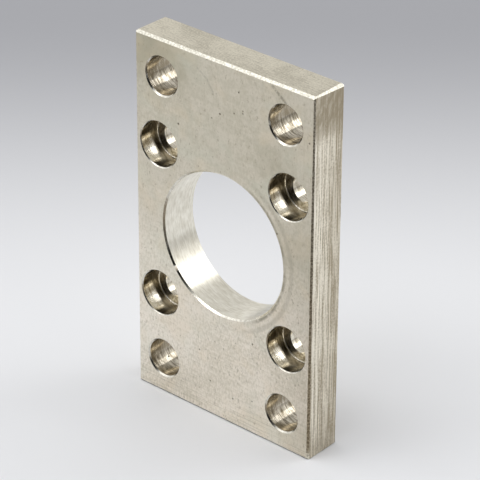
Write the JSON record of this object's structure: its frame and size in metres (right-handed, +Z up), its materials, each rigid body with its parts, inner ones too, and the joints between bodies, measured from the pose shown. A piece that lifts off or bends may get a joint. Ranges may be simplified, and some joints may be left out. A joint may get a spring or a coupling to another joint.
{
  "type": "cylinder mounting flange plate",
  "caption": "Rectangular steel plate with a centring bore, counterbored screw holes on a square and plain bolt holes near its short ends.",
  "frame": {"origin": "centre of the short bottom end, on the surface the plate stands on", "axes": "+X across the width, -Y out of the counterbored front face, +Z up the height"},
  "size_m": [0.052, 0.01, 0.09],
  "materials": {
    "steel": "fine ground, faces slightly matt, bores bright"
  },
  "bodies": {
    "root": {"flange_plate": "steel"}
  },
  "joints": []
}
